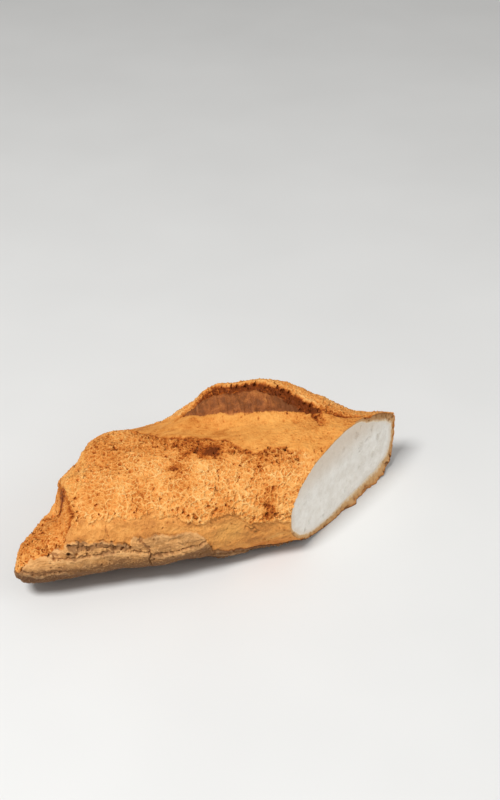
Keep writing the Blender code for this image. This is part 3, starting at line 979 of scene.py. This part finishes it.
tree.links.new(colour, shader.inputs["Base Color"])
tree.links.new(spread(tree, browned_and_shaded, 0.1, 0.9, 0.78, 0.62), shader.inputs["Roughness"])
shader.inputs["Specular IOR Level"].default_value = 0.12
grain = noise(tree, place, 0.7, 4.0, 0.7)
dents = add(tree, "ShaderNodeTexVoronoi", {"Vector": place, "Scale": 1.0 / (0.8 * MILLIMETRE)}, feature="F1")
dents = spread(tree, dents.outputs["Distance"], 0.0, 0.45)
surface = plus(tree, times(tree, grain, 0.6), times(tree, dents, 0.3))
surface = plus(tree, surface, times(tree, curly, 0.8))
bump = add(tree, "ShaderNodeBump", {"Height": surface, "Strength": 0.9, "Distance": 0.00025})
tree.links.new(bump.outputs[0], shader.inputs["Normal"])


# ---- The look of the crumb ----
# Starch set white and dense: nearly even, a little cream towards the crust and the top, with
# greyer flecks, and pores greyed with painted shade. It is moist, so it shines a little more than the crust.

tree, shader, place = fresh(crumb_paint)
tone = spread(tree, noise(tree, place, 5.0, 5.0, 0.7), 0.36, 0.64)
colour = blend_colour(tree, tone, (0.83, 0.78, 0.70), (0.97, 0.935, 0.87))
fleck = spread(tree, noise(tree, place, 0.9, 3.0, 0.6), 0.62, 0.75)
colour = blend_colour(tree, times(tree, fleck, 0.45), colour, (0.62, 0.58, 0.51))
colour = blend_colour(tree, times(tree, mark_value(tree, "toast_and_shade"), 0.7), colour, (0.74, 0.60, 0.46))
# The pit mark greys the crumb's holes: painted shade
colour = blend_colour(tree, times(tree, mark_value(tree, "pit_shade"), 0.45), colour, (0.55, 0.51, 0.44))
tree.links.new(colour, shader.inputs["Base Color"])
tree.links.new(spread(tree, tone, 0.0, 1.0, 0.62, 0.72), shader.inputs["Roughness"])
shader.inputs["Specular IOR Level"].default_value = 0.3
grain = noise(tree, place, 0.6, 4.0, 0.7)
bump = add(tree, "ShaderNodeBump", {"Height": grain, "Strength": 0.8, "Distance": 0.00025})
tree.links.new(bump.outputs[0], shader.inputs["Normal"])


# ---- Table, light and camera ----
# A plain pale table, a large soft light from the upper left in front, a weaker one from
# the right, and a camera that looks down on the loaf from its front, a little to the left.

FLOOR_SIDE = 6.0
floor_mesh = bpy.data.meshes.new("table")
half = FLOOR_SIDE / 2.0
floor_mesh.from_pydata([(-half, -half, 0.0), (half, -half, 0.0), (half, half, 0.0), (-half, half, 0.0)], [],
                       [(0, 1, 2, 3)])
floor_paint = bpy.data.materials.new("pale_table")
tree, shader, place = fresh(floor_paint)
cloud = spread(tree, noise(tree, place, 90.0, 2.0), 0.3, 0.7)
tree.links.new(blend_colour(tree, cloud, (0.72, 0.72, 0.71), (0.75, 0.75, 0.74)), shader.inputs["Base Color"])
shader.inputs["Roughness"].default_value = 0.8
floor_mesh.materials.append(floor_paint)
floor = bpy.data.objects.new("table", floor_mesh)
bpy.context.scene.collection.objects.link(floor)


def soft_light(name, place, target, size, watts):
    light = bpy.data.lights.new(name, "AREA")
    light.shape, light.size, light.energy = "DISK", size, watts
    lamp = bpy.data.objects.new(name, light)
    lamp.location = place
    lamp.rotation_euler = (Vector(target) - Vector(place)).to_track_quat("-Z", "Y").to_euler()
    bpy.context.scene.collection.objects.link(lamp)


soft_light("key", (-0.55, -0.45, 1.05), (0.0, 0.0, 0.02), 0.4, 14.0)
soft_light("fill", (0.9, -0.5, 0.6), (0.0, 0.0, 0.02), 0.9, 3.4)
world = bpy.data.worlds.new("studio")
world.use_nodes = True
world.node_tree.nodes["Background"].inputs["Color"].default_value = (1.0, 0.99, 0.97, 1.0)
world.node_tree.nodes["Background"].inputs["Strength"].default_value = 0.32
bpy.context.scene.world = world
bpy.context.scene.view_settings.view_transform = "Standard"

camera_data = bpy.data.cameras.new("camera")
camera_data.lens = 63.0
camera_data.sensor_width = 36.0
camera_data.clip_start = 0.01
camera = bpy.data.objects.new("camera", camera_data)
CAMERA_PLACE = (-0.07733, -0.42611, 0.33598)
CAMERA_AXES = Matrix(((0.97815, -0.20791, 0.0), (0.1128, 0.5307, 0.8400), (-0.17465, -0.82169, 0.54255)))
camera.matrix_world = Matrix.Translation(CAMERA_PLACE) @ CAMERA_AXES.transposed().to_4x4()
bpy.context.scene.collection.objects.link(camera)
bpy.context.scene.camera = camera
